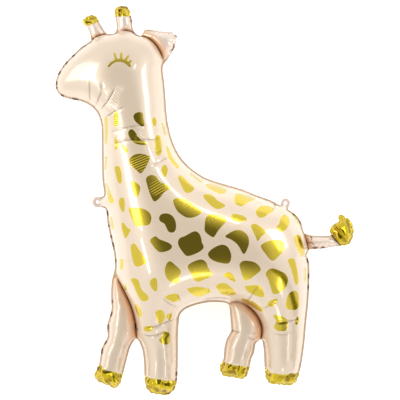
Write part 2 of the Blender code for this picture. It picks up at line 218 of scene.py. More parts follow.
# Gold film beyond a boundary: hooves, horn tips and tail tuft, as areas that reach past the outline
GOLD_ENDS = {
    "near_fore_hoof": [
        (138, 375.5), (144.8, 376), (153, 378.6), (165.8, 380.5), (184, 380), (184, 402),
        (138, 402),
    ],
    "near_hind_hoof": [
        (258, 366), (264.4, 367.7), (271.4, 372.8), (283, 374.7), (298.2, 372.8), (306, 371),
        (306, 392), (258, 392),
    ],
    "far_hind_hoof": [
        (214, 359), (223, 361.4), (230.6, 364.5), (249, 367), (256, 368), (256, 386), (214, 386),
    ],
    "far_fore_hoof": [
        (90, 360), (98.9, 364.5), (105.9, 370.3), (122.4, 373.5), (130, 375), (128, 395), (86, 392),
    ],
    "left_horn_tip": [(78, 29), (87, 26), (98.5, 22), (106, 19.5), (106, 6), (76, 6)],
    "right_horn_tip": [(108, 16.5), (138, 16.5), (138, 0), (108, 0)],
    "tail_tuft": [
        (327.5, 224), (330, 232.5), (331.7, 236), (335, 239.4), (338.6, 243.4), (341, 247),
        (345, 254), (362, 254), (362, 205), (328, 205),
    ],
}
EYE_AREA = [(103, 49), (135, 49), (135, 71), (103, 71)]
# The ear and the tail's lower edge are gathered like the gold ends
GATHERED_ENDS = {
    "ear": [(152, 28), (180, 28), (180, 58), (168, 58), (158, 40)],
    "tail": [(306, 243), (332, 241), (340, 252), (330, 256), (306, 256)],
}
ALL_ENDS = {**GOLD_ENDS, **GATHERED_ENDS}
# Parts whose pearl film is painted paler as painted light, besides the tabs, whose film is paler
# of itself
PAINTED_LIGHT_PARTS = {
    "ear": GATHERED_ENDS["ear"],
    "tail": [(309, 228), (340, 228), (340, 256), (309, 256)],
    "horns": [(84, 14), (138, 14), (138, 28), (84, 36)],
}

# Weld lines inside the outline, the side with the painted shade and stronger painted orange
# reflection (1 left of the line's way, -1 right), where along it, from 0 to 1, its painted shade
# line is dark, and how far the painted orange reflection beside it reaches, in metres
WELDS = {
    "far_fore_leg": (
        [
            (114.7, 268.5), (117.5, 277), (122.5, 287), (128.2, 298.4), (132.7, 310),
            (135.9, 324), (136.5, 338.8),
        ],
        -1, (0.12, 1.0), 0.017,
    ),
    "far_hind_leg": (
        [
            (228.2, 304.5), (233, 301.3), (240.5, 301.6), (247.8, 305.7), (254.2, 311.6),
            (259.4, 319.4), (262, 328), (261, 339.4),
        ],
        -1, (0.3, 1.0), 0.017,
    ),
    "ear": (
        [(141.5, 35.5), (150.4, 39.8), (157.4, 47.2), (161.9, 56), (163.4, 65)],
        1, (0.0, 0.8), 0.014,
    ),
    "left_horn": ([(91, 39.7), (98.5, 36.2), (107, 33.5)], 1, (0.0, 0.9), 0.006),
    "right_horn": ([(114.6, 33), (124.5, 30.5), (135.4, 33.1)], 1, (0.45, 1.0), 0.006),
    "tail": ([(304.2, 232.5), (306.2, 241.5), (309, 250.5)], 1, (0.1, 1.0), 0.014),
    "tuft": ([(331, 234.5), (335, 239.6), (340.9, 246)], 1, (0.0, 1.0), 0.004),
}
# Creases where the film is pulled across a bend: points, and depth as a share of the deepest
CREASES = [
    ([(88.4, 80), (89.3, 90), (89.6, 102)], 0.8),
    ([(102.2, 81), (100, 95), (95, 106)], 0.85),
    ([(115.4, 86.7), (109, 99), (100, 110)], 0.9),
    ([(126, 105.8), (115, 111.3), (104.6, 117.2)], 0.85),
    ([(109.6, 132.5), (120, 129.6), (135.5, 125.8), (148, 126.5)], 0.7),
    ([(112, 145), (123.6, 141.2), (130, 140), (143, 140.2), (160.8, 138)], 0.8),
    ([(155.5, 152.8), (162, 150.5)], 0.4),
    ([(151, 166.3), (160, 161.4), (168.5, 157.4)], 0.6),
    ([(162.5, 298), (169.3, 303.8), (178.2, 307.3)], 0.6),
    ([(177.5, 294), (180.4, 301.5)], 0.6),
    ([(144.3, 327.9), (155.9, 326.5), (165.7, 322.5), (175.5, 318.9)], 0.8),
    ([(141.6, 334.1), (151.4, 336.3), (162.1, 332.8), (168, 331.2)], 0.7),
    ([(274.6, 323.1), (287, 321.5), (299, 319.2)], 0.7),
    ([(272.5, 334.7), (283.7, 334.3), (294, 331.6)], 0.35),
    ([(247.3, 302), (252.5, 294.5), (258, 286.2)], 0.8),
    ([(263, 309), (268.8, 305.7), (277, 300.3)], 0.6),
    ([(202, 300), (216.6, 298.2), (231, 299.2)], 0.9),
    ([(230, 329.5), (234, 331), (239.5, 332.3)], 0.8),
    ([(247, 336), (250.5, 338.4), (255.5, 339.6)], 0.6),
    ([(274.3, 201.5), (274.9, 206), (272.6, 210.8)], 0.6),
    ([(208.4, 287.5), (209.2, 293.5)], 0.4),
    ([(309, 233), (311.5, 237.5), (310.5, 241)], 1.0),
    ([(306.5, 243.5), (311, 242.5), (314.5, 245.5)], 1.0),
    ([(310, 250), (313.5, 247.5), (318, 248)], 0.8),
]
# Fine ripples: middle, half length across and along the waves, turn and pitch of the waves, and
# their height as a share of the usual
RIPPLES = [
    ((115, 97), (17, 8), 52, 2.5, 1.8),
    ((141, 134), (9, 5), 55, 2.4, 1.0),
    ((141, 163), (9, 10), -68, 2.3, 1.0),
    ((158, 188), (8, 9), -60, 2.4, 1.0),
    ((119, 122), (9, 5), -82, 2.2, 1.2),
]

# Where the rim shows painted shade as dark dashes in its puckers: the muzzle, the chest, the far
# fore leg, the tail and rump, the ear, the right horn's tip and the near fore hoof
DASHED_EDGES = [
    [(50, 45), (84, 45), (84, 108), (50, 108)],
    [(96, 206), (120, 206), (120, 262), (96, 262)],
    [(90, 300), (118, 300), (104, 376), (84, 376)],
    [(300, 246), (335, 244), (345, 256), (300, 300)],
    [(168, 28), (184, 28), (184, 56), (172, 58)],
    [(112, 2), (136, 2), (136, 22), (126, 22), (123, 12), (112, 12)],
    [(170, 368), (184, 368), (184, 397), (150, 397), (150, 388), (168, 386)],
]
# The welded rim's width, and how far from its level a point still counts as welded
RIM_WIDTH = 0.005
WELDED_WITHIN = 0.55 * SOLID_FILM_THICKNESS
# The faces of a cut edge stand upright: the most that their normals lean
UPRIGHT = 0.3
# Points nearer to each other than the first are one, and nearer to the floor than the second rest
MERGED_WITHIN, RESTING_WITHIN = 1e-5, 1e-4
# Rounds of smoothing after each cut of the mesh and after the last, and the steps of a round, to
# the neighbours' mean and back
EASE_ROUNDS, LAST_ROUNDS = 80, 3
EASE_STEPS = (0.55, -0.57)
# The film is cut finer above this share of the seam's height, and within these distances of a
# crease and of the rim at an end, where a point has at least this share of the end's look
FINE_FROM = 0.5
FINE_CREASE, FINE_RIM, FINE_END = 0.006, 0.02, 0.05
# How far in from the rim its smooth curve moves the film
BULGE_REACH = 0.012
# The look of an end fades in between these depths inside its area
END_FADE = (-0.006, 0.004)

# Gathers and puckers: the least and most of their random pitch and depth, as shares, and of how far
# in they reach, how sharp a valley is, and how high and how far in the rim waves with them
PITCH_SPREAD = (0.7, 1.3)
PUCKER_SPREAD, GATHER_SPREAD = (0.1, 1), (0.45, 1)
VALLEY_REACH = (0.006, 0.016)
VALLEY_SHARPNESS = 1.3
WAVE_SHARE, WAVE_REACH = 0.5, 0.003
# Up to this share of the rim's width the film gathers inwards, and past it downwards
ON_RIM = 1.05
# The rim of the gathered ends curls down by this slope
RIM_CURL = 0.55
# A dash of painted shade lies where the rim's wave is between these heights, and within these
# depths of its area
DASH_WAVE, DASH_FADE = (0.1, 0.6), (-0.005, 0.005)
# Facets of a crumpled end: how far one blends into the next, the least and most of their slopes, as
# shares, how far past the end they go on, and over which distances in from the rim they rise
FACET_EDGE = 0.0065
SLOPE_SPREAD = (0.35, 1)
FACET_MARGIN = 0.01
FACET_RISE = (0.003, 0.010)
# The tuft's facets are larger, tilt less at random and lean one way
SMOOTH_TUFT = 1.5
TUFT_SPREAD = 0.4
TUFT_TILT = (-0.32, -0.3)
# A crease deepens between these shares of its length from either end
CREASE_ENDS = (-0.02, 0.2)
# Height of the fine ripples, how much their waves bend, and height of the film's slow waves and how
# many there are to a metre
RIPPLE_HEIGHT, RIPPLE_BEND = 0.0004, 0.3
SLOW_WAVE, SLOW_SCALE = 0.0004, 16.0

# How far round a spot its depth is worked out
SPOT_MARGIN = 0.008
# The print fades in over this width, with a thin paler edge round it
PRINT_BLUR, EDGE_BLUR, EDGE_SHARE = 0.0008, 0.001, 0.45
# Half widths of the painted shade line in a crease and along a weld
CREASE_LINE, WELD_LINE = 0.0015, 0.002
# How strong the painted shade colour is in a crease, along the rim as a darker rim band, in the
# rim's dashes and in a gather's valley, and how far in from the rim the last reaches
CREASE_SHADE, RIM_SHADE, DASH_SHADE = 0.85, 0.10, 0.80
VALLEY_SHADE, VALLEY_SHADE_REACH = 0.3, 0.004
# Painted shade on the crumpled gold: how dark it is all over, what its hollows add, and between
# which heights
GOLD_SHADE, HOLLOW_SHADE = 0.1, 0.55
HOLLOWS = (0.0005, -0.003)
# The rim's colours fade in between these shares of its width
RIM_EDGE = (1.2, 0.8)
# Round a tab's hole: the distances from its edge over which the rim's colours start, and those over
# which the film turns pale
PLAIN_TAB, PALE_TAB = (0.012, 0.020), (0.016, 0.010)
# How strongly the rim band is tinted orange and how strong the painted orange reflection near the
# rim is, how far in that and the gold's painted rim reflection reach, and what share of them the
# gold ends lack
RIM_TAN, NEAR_RIM_TAN = 0.15, 0.15
NEAR_RIM, BRIGHT_ENDS = 0.012, 0.8
# The painted orange reflection and shade beside a weld: over which share of its length it and the
# weld's painted shade line start and end, how strong it is on the shaded and on the lit side, how
# far it reaches there as a share, and the least of it
WELD_FADE = 0.1
SHADED_TAN, LIT_TAN = 0.95, 0.6
LIT_REACH = 0.25
LEAST_TAN = 0.35
# How much paler the ear, the tail and the horns are painted, as painted light
PAINTED_LIGHT_SHARE = 0.7
# The film's finish, pearl and gold, and what share of its coat the crumpled gold lacks
PEARL_METALLIC, PEARL_ROUGHNESS = 0.25, 0.32
GOLD_ROUGHNESS, GOLD_COAT = 0.17, 0.6
COAT_IOR, COAT_ROUGHNESS, SPECULAR = 1.9, 0.05, 0.15
DULLED = 0.8

# The pattern point that the camera looks at, the camera's sensor in millimetres, and the floor
PICTURE_MIDDLE = (200, 200)
SENSOR_WIDTH = 36
FLOOR_COLOUR, FLOOR_ROUGHNESS = (0.9, 0.9, 0.9, 1), 0.9
# Strip lights: degrees round from +X and down from above, distance, length, width, radiance, and
# degrees that the light spreads
STRIPS = {
    "left_strip": (165, 45, 2.6, 1.5, 0.50, 3.1, 180),
    "right_strip": (21, 55, 2.6, 1.1, 0.8, 3.2, 180),
    "back_strip": (61, 38, 1.3, 0.36, 0.12, 0.28, 26),
    "lower_strip": (270, 46, 2.6, 0.5, 0.26, 3.0, 180),
    "left_leg_strip": (207, 46, 2.6, 0.9, 0.16, 4.6, 180),
    "right_leg_strip": (321, 45, 2.6, 0.62, 0.15, 3.7, 180),
}
# A small light by the muzzle that the film mirrors but isn't lit by, as above, and what it faces
MUZZLE_LIGHT = (169, 57, 0.36, 0.40, 0.38, 1.55, 180)
MUZZLE = (-0.33, 0.34, 0.20)
# A soft light from straight above that the film doesn't mirror: its distance, side and radiance
FILL = (2.6, 2.0, 1.1)
# Shades of the room by height of the direction looked in, from one height to the next
ROOM_SHADES = ((0.45, 0.78, (0.80, 0.80, 0.80)), (0.78, 0.92, (0.15, 0.143, 0.135)))
# A dark upright post in the room: degrees round from +X, half width as a sine, its shade, how
# sharp its edges are, and from which cosine of the way towards it it shows, and how fast
DARK_POST = (338, 0.085, (0.10, 0.09, 0.06))
POST_SHARPNESS = 40
POST_SIDE = (0.5, 10)


class FilmSettings(bpy.types.PropertyGroup):
    """How the film is gathered, creased and coloured, and where shade, reflection and light are
    painted on it
    """

    rim_thickness: FloatProperty(
        name="Rim thickness",
        description="Thickness of the two welded films",
        default=0.0007,
        unit="LENGTH",
    )
    gather_depth: FloatProperty(
        name="Gather depth",
        description="How deep the film is gathered at hooves, horns, ear and tuft",
        default=0.0028,
        unit="LENGTH",
    )
    gather_pitch: FloatProperty(
        name="Gather pitch",
        description="From one gather to the next at those ends",
        default=0.016,
        unit="LENGTH",
    )
    pucker_depth: FloatProperty(
        name="Pucker depth",
        description="How deep the film puckers along the rest of the rim",
        default=0.0005,
        unit="LENGTH",
    )
    pucker_pitch: FloatProperty(
        name="Pucker pitch",
        description="From one pucker to the next along the rest of the rim",
        default=0.017,
        unit="LENGTH",
    )
    facet_size: FloatProperty(
        name="Facet size",
        description="Mean size of the facets of the crumpled ends",
        default=0.023,
        unit="LENGTH",
    )
    facet_slope: FloatProperty(
        name="Facet slope", description="Steepest tilt of a facet, as a slope", default=0.75
    )
    crease_depth: FloatProperty(
        name="Crease depth",
        description="Depth of the deepest crease across a bend",
        default=0.0016,
        unit="LENGTH",
    )
    crease_width: FloatProperty(
        name="Crease width", description="Half width of a crease", default=0.0034, unit="LENGTH"
    )
    pearl: FloatVectorProperty(
        name="Pearl",
        description="Colour of the pearl film",
        subtype="COLOR",
        default=(0.80, 0.65, 0.495),
    )
    gold: FloatVectorProperty(
        name="Gold",
        description="Colour of the gold print",
        subtype="COLOR",
        default=(0.69, 0.515, 0.010),
    )
    # Painted reflection: the gold tone near the rim stands in for the print mirroring the room at a
    # slant
    rim_reflection_gold: FloatVectorProperty(
        name="Pale gold",
        description="Colour of the gold print where it nears the rim",
        subtype="COLOR",
        default=(0.49, 0.40, 0.14),
    )
    # The tabs' own paler film, also laid on the horns, the ear and the tail as painted light
    pale_tab_and_lit_pearl: FloatVectorProperty(
        name="Pale pearl",
        description="Colour of the pearl film on the hanging tabs, the horns, the ear and the tail",
        subtype="COLOR",
        default=(0.92, 0.80, 0.72),
    )
    # Painted reflection and shade: an orange that stands in for film mirrored in film beside a weld
    # and near the rim; the rim band takes it as a tint too
    tan: FloatVectorProperty(
        name="Tan",
        description="Colour of the pearl film where it folds away to a weld",
        subtype="COLOR",
        default=(0.98, 0.52, 0.24),
    )
    # Painted shade: the dark colour laid into creases, weld lines, gather valleys, rim dashes and
    # crumpled gold, and on the darker rim band
    fold_shade: FloatVectorProperty(
        name="Fold",
        description="Colour down in a tight fold",
        subtype="COLOR",
        default=(0.15, 0.06, 0.018),
    )
    print_edge: FloatVectorProperty(
        name="Print edge",
        description="Colour of the thin edge round the gold print",
        subtype="COLOR",
        default=(0.86, 0.72, 0.33),
    )
    seed: IntProperty(name="Seed", description="Start of the random gathers", default=7)


class StageSettings(bpy.types.PropertyGroup):
    """The floor, the light and the camera"""

    camera_distance: FloatProperty(
        name="Camera distance",
        description="From the camera to the welded rim",
        default=3.2,
        unit="LENGTH",
    )
    picture_width: FloatProperty(
        name="Picture width",
        description="What the picture spans at the welded rim",
        default=1.046,
        unit="LENGTH",
    )
    floor_size: FloatProperty(
        name="Floor size", description="Side of the pale floor", default=12.0, unit="LENGTH"
    )
    floor_glow: FloatProperty(
        name="Floor glow",
        description="Light that the white floor gives by itself",
        default=0.47,
        min=0.0,
    )
    room_strength: FloatProperty(
        name="Room strength", description="Brightness of the soft room", default=1.0, min=0.0
    )


def at(x, y):
    """A pattern point in metres."""
    return (x - PATTERN_MIDDLE_X) * UNIT, (PATTERN_BOTTOM_Y - y) * UNIT + CAD_LOW.y


def deselect_all():
    """Leaves nothing selected, in object mode."""
    if bpy.context.mode != "OBJECT":
        bpy.ops.object.mode_set(mode="OBJECT")
    bpy.ops.object.select_all(action="DESELECT")


def make_active(obj):
    """Selects one object alone and makes it active."""
    deselect_all()
    obj.select_set(True)
    bpy.context.view_layer.objects.active = obj


def read_points(obj, what="co"):
    """The places, or the normals, of the object's points as an array."""
    values = np.zeros(len(obj.data.vertices) * 3, np.float32)
    obj.data.vertices.foreach_get(what, values)
    return values.reshape(-1, 3).astype(float)


def move_points(obj, points):
    """Puts the object's points at the array's places."""
    obj.data.vertices.foreach_set("co", points.astype(np.float32).ravel())
    obj.data.update()


def add_attribute(obj, name, values):
    """A number at each point that the material can read."""
    attribute = obj.data.attributes.new(name, "FLOAT", "POINT")
    attribute.data.foreach_set("value", values.astype(np.float32))


def fade(values, start, end):
    """0 at start and before it, 1 at end and past it, with a smooth way between."""
    share = np.clip((values - start) / (end - start), 0, 1)
    return share * share * (3 - 2 * share)


def bell(gap, width):
    """1 where the gap is 0, falling off over the width."""
    return np.exp(-((gap / width) ** 2))


def step_places(flat, points, steps):
    """Each flat point's distance to a line, length along it and side, and the line's length."""
    lengths = np.linalg.norm(steps, axis=1)
    gap = np.full(len(flat), np.inf)
    along = np.zeros(len(flat))
    side = np.ones(len(flat))
    passed = 0.0
    for start, step, length in zip(points, steps, lengths):
        reach = flat - start
        share = np.clip(reach @ step / length**2, 0, 1)
        here = np.linalg.norm(reach - share[:, None] * step, axis=1)
        nearer = here < gap
        gap[nearer] = here[nearer]
        along[nearer] = passed + share[nearer] * length
        side[nearer] = np.sign(step[0] * reach[nearer, 1] - step[1] * reach[nearer, 0])
        passed += length
    return gap, along, side, passed


def line_places(flat, line):
    """Distance of each flat point to an open line, its share of the way along, and its side."""
    gap, along, side, length = step_places(flat, line, np.diff(line, axis=0))
    return gap, along / length, side


def curve_through(points, closed=False, pieces=5):
    """A smooth line through pattern points, in metres."""
    line = np.array([at(x, y) for x, y in points])
    if closed:
        around = np.vstack((line[-1:], line, line[:2]))
    else:
        around = np.vstack((2 * line[:1] - line[1:2], line, 2 * line[-1:] - line[-2:-1]))
    curve = [
        spline_between(around[index : index + 4], piece / pieces)
        for index in range(len(around) - 3)
        for piece in range(pieces)
    ]
    return np.array(curve + [line[0] if closed else line[-1]])


def spline_between(four, share):
    """The point at a share of the way from the second of four points to the third."""
    p0, p1, p2, p3 = four
    return 0.5 * (
        2 * p1
        + (p2 - p0) * share
        + (2 * p0 - 5 * p1 + 4 * p2 - p3) * share**2
        + (3 * p1 - p0 - 3 * p2 + p3) * share**3
    )


def streak_depth(flat, chain):
    """How deep each point lies inside a chain of (x, y, half width), in metres, below 0 outside."""
    discs = [(*at(x, y), width * UNIT) for x, y, width in chain]
    deepest = np.full(len(flat), -np.inf)
    for (ax, ay, a_width), (bx, by, b_width) in zip(discs, discs[1:] or discs):
        start, along = np.array((ax, ay)), np.array((bx - ax, by - ay))
        share = np.clip((flat - start) @ along / max(along @ along, 1e-18), 0, 1)
        gap = np.linalg.norm(flat - start - share[:, None] * along, axis=1)
        deepest = np.maximum(deepest, a_width + (b_width - a_width) * share - gap)
    return deepest


def ring_depth(flat, ring):
    """How deep each point lies inside a ring that ends where it starts, in metres."""
    within = np.zeros(len(flat), bool)
    for (x1, y1), (x2, y2) in zip(ring[:-1], ring[1:]):
        crosses = (y1 > flat[:, 1]) != (y2 > flat[:, 1])
        if y1 != y2:
            within ^= crosses & (flat[:, 0] < x1 + (x2 - x1) * (flat[:, 1] - y1) / (y2 - y1))
    gap = line_places(flat, ring)[0]
    return np.where(within, gap, -gap)


def area_depth(flat, corners):
    """How deep each point lies inside an area with straight sides, in metres."""
    return ring_depth(flat, np.array([at(x, y) for x, y in corners + corners[:1]]))


def spot_depth(flat, points):
    """How deep each point lies inside a round-edged spot, in metres, far below 0 away from it."""
    ring = curve_through(points, closed=True)
    near = ((flat > ring.min(0) - SPOT_MARGIN) & (flat < ring.max(0) + SPOT_MARGIN)).all(1)
    depth = np.full(len(flat), -SPOT_MARGIN)
    depth[near] = np.maximum(ring_depth(flat[near], ring), -SPOT_MARGIN)
    return depth


def gold_depth(flat):
    """How deep each point lies inside the gold print, in metres, below 0 on the pearl film."""
    depths = [streak_depth(flat, chain) for chain in STREAKS + EYE]
    depths += [spot_depth(flat, points) for points in SPOTS]
    depths += [area_depth(flat, corners) for corners in GOLD_ENDS.values()]
    return np.maximum.reduce(depths)


def as_seen(points, distance):
    """Level places as the camera sees them: what is nearer to it than the rim looks further out."""
    middle = np.array(at(*PICTURE_MIDDLE))
    rise = np.abs(points[:, 2] - SEAM_HEIGHT)
    return middle + (points[:, :2] - middle) * (distance / (distance - rise))[:, None]


class Rim:
    """A closed cut edge of the film, as level points in order with the film on their left."""

    def __init__(self, points):
        after = np.roll(points, -1, axis=0)
        if (points[:, 0] * after[:, 1] - points[:, 1] * after[:, 0]).sum() < 0:
            points = points[::-1]
            after = np.roll(points, -1, axis=0)
        self.points = points
        self.steps = after - points
        self.lengths = np.linalg.norm(self.steps, axis=1)
        self.starts = np.concatenate(([0], np.cumsum(self.lengths)[:-1]))
        self.length = self.lengths.sum()

    def places(self, flat):
        """Distance of each flat point to the edge, and the length along it of the nearest place."""
        return step_places(flat, self.points, self.steps)[:2]

    def read(self, values, along):
        """Values that stand at the edge's points, read at lengths along it."""
        return np.interp(along, self.starts, values, period=self.length)

    def inward(self, along):
        """The level direction into the film at lengths along the edge."""
        ways = self.steps / self.lengths[:, None]
        ways = ways + np.roll(ways, 1, axis=0)
        ways /= np.linalg.norm(ways, axis=1)[:, None]
        return np.column_stack((self.read(-ways[:, 1], along), self.read(ways[:, 0], along)))

    def bulge(self, along):
        """How far a smooth curve through the edge's points stands off their straight steps."""
        index = np.searchsorted(self.starts, along, side="right") - 1
        share = ((along - self.starts[index]) / self.lengths[index])[:, None]
        count = len(self.points)
        four = [self.points[(index + shift) % count] for shift in (-1, 0, 1, 2)]
        return spline_between(four, share) - (four[1] + share * (four[2] - four[1]))


def film_copy(node):
    """A copy of the solid's skin, with its loose triangles merged."""
    film = bpy.data.objects.new("foil_film", node.data.copy())
    bpy.context.scene.collection.objects.link(film)
    film.data.materials.clear()
    make_active(film)
    bpy.ops.object.mode_set(mode="EDIT")
    bpy.ops.mesh.select_all(action="SELECT")
    bpy.ops.mesh.remove_doubles(threshold=MERGED_WITHIN)
    bpy.ops.mesh.select_all(action="DESELECT")
    bpy.ops.object.mode_set(mode="OBJECT")
    return film


def find_rims(film):
    """The film's cut edges, longest first: the outline, then the holes of the tabs."""
    mesh = bmesh.new()
    mesh.from_mesh(film.data)
    links = {}
    for face in mesh.faces:
        if abs(face.normal.z) > UPRIGHT or not welded(np.array([v.co for v in face.verts])).all():
            continue
        for edge in face.edges:
            if all(vert.co.z > SEAM_HEIGHT for vert in edge.verts):
                one, other = edge.verts
                links.setdefault(one.index, []).append(other.index)
                links.setdefault(other.index, []).append(one.index)
    places = {vert.index: vert.co.xy for vert in mesh.verts}
    rims = []
    while links:
        here = min(links)
        ring = []
        while here in links:
            ring.append(places[here])
            following = [index for index in links.pop(here) if index in links]
            here = following[0] if following else None
        rims.append(Rim(np.array(ring)))
    mesh.free()
    return sorted(rims, key=lambda rim: -rim.length)


def subdivide(obj, chosen):
    """Cuts in half the edges of the faces whose points are all chosen."""
    make_active(obj)
    bpy.context.tool_settings.mesh_select_mode = (False, False, True)
    faces = np.array([all(chosen[index] for index in face.vertices) for face in obj.data.polygons])
    obj.data.polygons.foreach_set("select", faces)
    obj.data.vertices.foreach_set("select", np.zeros(len(obj.data.vertices), bool))
    obj.data.edges.foreach_set("select", np.zeros(len(obj.data.edges), bool))
    bpy.ops.object.mode_set(mode="EDIT")
    bpy.ops.mesh.subdivide(number_cuts=1)
    bpy.ops.mesh.select_all(action="SELECT")
    bpy.ops.mesh.quads_convert_to_tris()
    bpy.ops.mesh.select_all(action="DESELECT")
    bpy.ops.object.mode_set(mode="OBJECT")


def welded(points):
    """Which points lie on the level rim, a weld line or a tab."""
    return np.abs(points[:, 2] - SEAM_HEIGHT) < WELDED_WITHIN


def ease(film, rounds):
    """Smooths the film between its welds and its resting spot.

    A pillow's height grows with the root of the distance from its weld, so the height's square is
    what gets eased.
    """
    edges = np.zeros(len(film.data.edges) * 2, np.int32)
    film.data.edges.foreach_get("vertices", edges)
    one, other = edges.reshape(-1, 2).T
    points = read_points(film)
    held = welded(points) | (points[:, 2] < RESTING_WITHIN)
    size = len(points)
    count = np.bincount(one, minlength=size) + np.bincount(other, minlength=size)
    rise = points[:, 2] - SEAM_HEIGHT
    values = np.column_stack((points[:, :2], np.sign(rise) * rise**2))
    for _ in range(rounds):
        for step in EASE_STEPS:
            mean = np.column_stack(
                [
                    np.bincount(one, column[other], size) + np.bincount(other, column[one], size)
                    for column in values.T
                ]
            )
            moved = values + step * (mean / count[:, None] - values)
            values[~held] = moved[~held]
    points[:, :2] = values[:, :2]
    points[~held, 2] = SEAM_HEIGHT + np.sign(values[~held, 2]) * np.sqrt(np.abs(values[~held, 2]))
    points[:, 2] = np.maximum(points[:, 2], 0)
    move_points(film, points)


def end_share(flat, areas):
    """1 at the ends inside these areas, 0 away from them."""
    deepest = np.maximum.reduce([area_depth(flat, corners) for corners in areas.values()])
    return fade(deepest, *END_FADE)


def refine(film, outline):
    """Cuts the film finer at its gathers, its creases and the printed eye."""
    points = read_points(film)
    gap = outline.places(points[:, :2])[0]
    fine = area_depth(points[:, :2], EYE_AREA) > 0
    for crease, _ in CREASES:
        fine |= line_places(points[:, :2], curve_through(crease))[0] < FINE_CREASE
    fine |= ripple_places(points[:, :2])[0] > 0
    fine &= points[:, 2] > SEAM_HEIGHT
    fine |= (end_share(points[:, :2], ALL_ENDS) > FINE_END) & (gap < FINE_RIM)
    subdivide(film, fine)
    points = read_points(film)
    subdivide(film, (ripple_places(points[:, :2])[0] > 0) & (points[:, 2] > SEAM_HEIGHT))


def gather_rim(points, normals, gap, along, outline, settings):
    """Moves the film in where it is gathered to its rim, and says how deep in a gather it lies."""
    rng = np.random.default_rng(settings.seed)
    gathered = end_share(outline.points, ALL_ENDS)
    valleys = [0.0]
    while valleys[-1] < outline.length - settings.pucker_pitch:
        share = float(outline.read(gathered, valleys[-1]))
        pitch = settings.pucker_pitch + share * (settings.gather_pitch - settings.pucker_pitch)
        valleys.append(valleys[-1] + pitch * rng.uniform(*PITCH_SPREAD))
    valleys = np.array(valleys)
    share = outline.read(gathered, valleys)
    depth = settings.pucker_depth * rng.uniform(*PUCKER_SPREAD, len(valleys)) * (1 - share)
    depth += settings.gather_depth * rng.uniform(*GATHER_SPREAD, len(valleys)) * share
    reach = rng.uniform(*VALLEY_REACH, len(valleys))

    phase = np.interp(along, valleys, np.arange(len(valleys)), period=outline.length)
    nearest = phase.round().astype(int) % len(valleys)
    valley = (1 - np.abs(np.sin(np.pi * phase))) ** VALLEY_SHARPNESS
    past_rim = np.maximum(gap - RIM_WIDTH, 0)
    amount = depth[nearest] * valley * bell(past_rim, reach[nearest])
    inward = np.column_stack((outline.inward(along), np.zeros(len(points))))
    on_rim = (gap < RIM_WIDTH * ON_RIM)[:, None]
    points += amount[:, None] * np.where(on_rim, inward, -normals)
    wave = np.sin(2 * np.pi * phase) * np.exp(-past_rim / WAVE_REACH)
    wave *= WAVE_SHARE * depth[nearest]
    curl = RIM_CURL * outline.read(gathered, along) * np.maximum(RIM_WIDTH - gap, 0)
    points[:, 2] += wave - curl
    # The valley and the dash below place painted shade in the gathers and as dashes on the rim
    shifted = np.pi * phase + 2 * depth[nearest] / settings.pucker_depth
    dash = fade(np.sin(shifted), *DASH_WAVE)
    return valley**2 * np.clip(depth[nearest] / settings.gather_depth, 0, 1), dash


def crumple_ends(points, normals, gap, settings):
    """Crumples the gold ends into facets, each tilted its own way about its middle."""
    rng = np.random.default_rng(settings.seed)
    flat = points[:, :2]
    lift = np.zeros(len(points))
    for name, corners in GOLD_ENDS.items():
        corners = np.array([at(x, y) for x, y in corners])
        low, high = corners.min(0), corners.max(0)
        size = settings.facet_size * (SMOOTH_TUFT if name == "tail_tuft" else 1)
        count = max(4, round(np.prod(high - low) / size**2))
        middles = rng.uniform(low, high, (count, 2))
        turns = rng.uniform(0, 2 * math.pi, count)
        slopes = settings.facet_slope * rng.uniform(*SLOPE_SPREAD, count)
        tilts = slopes[:, None] * np.column_stack((np.cos(turns), np.sin(turns)))
        if name == "tail_tuft":
            tilts = TUFT_SPREAD * tilts + TUFT_TILT
        near = ((flat > low - FACET_MARGIN) & (flat < high + FACET_MARGIN)).all(1)
        away = flat[near][:, None] - middles
        distance = (away**2).sum(2)
        weight = np.exp(-(distance - distance.min(1, keepdims=True)) / FACET_EDGE**2)
        heights = (away * tilts).sum(2)
        lift[near] = (weight * heights).sum(1) / weight.sum(1)
    lift *= end_share(flat, GOLD_ENDS) * fade(gap, *FACET_RISE)
    points += lift[:, None] * normals
    return lift


def crease_film(points, normals, flat, settings):
    """Presses the creases into the film, and says how far each point lies in one's painted shade
    line.
    """
    line = np.zeros(len(points))
    for crease, share in CREASES:
        gap, along, _ = line_places(flat, curve_through(crease))
        strength = share * fade(along, *CREASE_ENDS) * fade(1 - along, *CREASE_ENDS)
        amount = settings.crease_depth * strength * bell(gap, settings.crease_width)
        points -= amount[:, None] * normals
        line = np.maximum(line, strength * bell(gap, CREASE_LINE))
    return line


def ripple_places(flat):
    """How far each point lies inside a rippled area, from 0 to 1, and its wave from -1 to 1."""
    inside, height = np.zeros((2, len(flat)))
    for middle, (half_across, half_along), turn, pitch, share in RIPPLES:
        turn = math.radians(turn)
        away = (flat - at(*middle)) / UNIT
        across = away @ (math.cos(turn), math.sin(turn))
        along = away @ (-math.sin(turn), math.cos(turn))
        mask = np.clip(1 - (across / half_across) ** 2 - (along / half_along) ** 2, 0, 1)
        inside = np.maximum(inside, mask)
        phase = 2 * math.pi * across / pitch + RIPPLE_BEND * along / half_along
        height += share * np.sqrt(mask) * np.sin(phase)
    return inside, height


